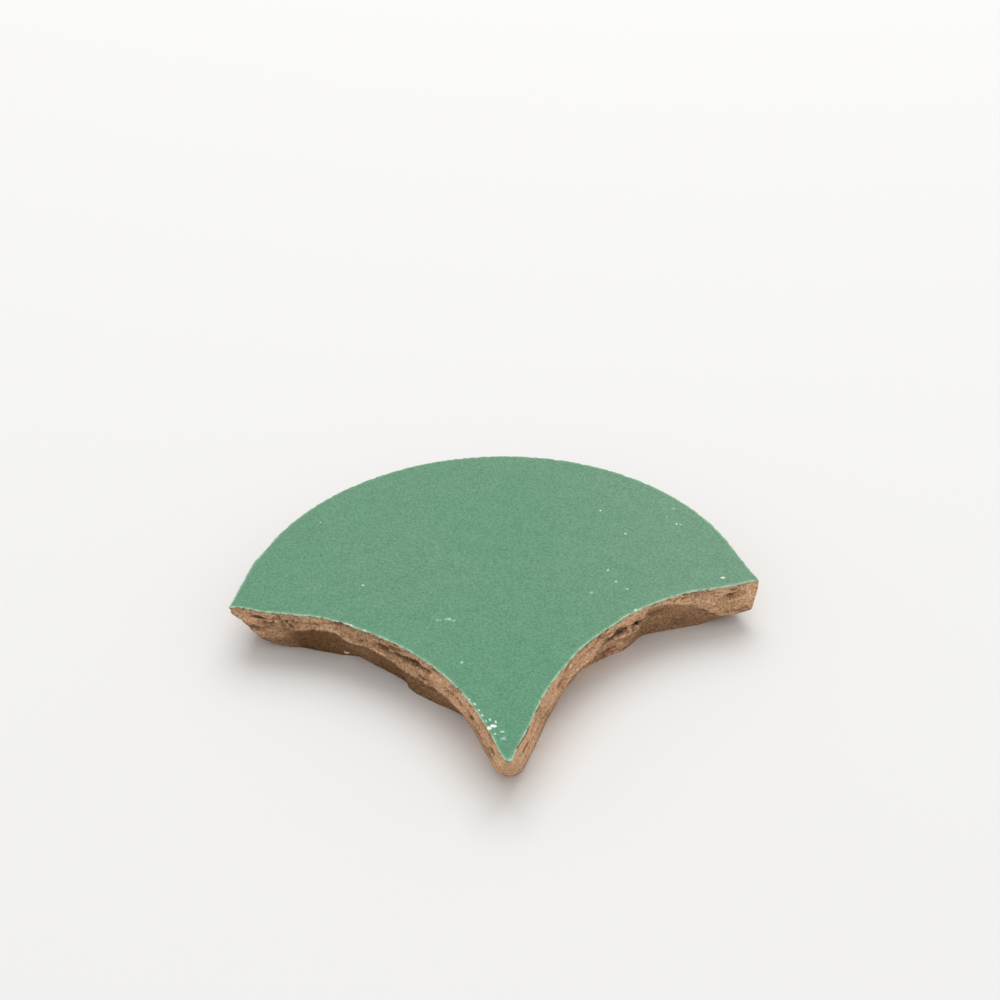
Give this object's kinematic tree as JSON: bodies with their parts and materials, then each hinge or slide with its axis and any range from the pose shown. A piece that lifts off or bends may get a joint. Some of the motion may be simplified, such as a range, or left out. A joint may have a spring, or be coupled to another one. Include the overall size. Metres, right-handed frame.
{
  "type": "fish scale tile",
  "caption": "Hand-cut glazed terracotta tile in a fish scale outline: round crown, concave recesses that seat its neighbours, pointed tip and back-cut edges.",
  "frame": {"origin": "on the bed, straight under the centre of the round crown", "axes": "+Z out of the glazed face, -Y towards the pointed tip, +X across the courses"},
  "size_m": [0.1032, 0.0938, 0.011],
  "materials": {
    "glazed_terracotta": "satin"
  },
  "bodies": {
    "root": {"tile": "glazed_terracotta"}
  },
  "joints": []
}
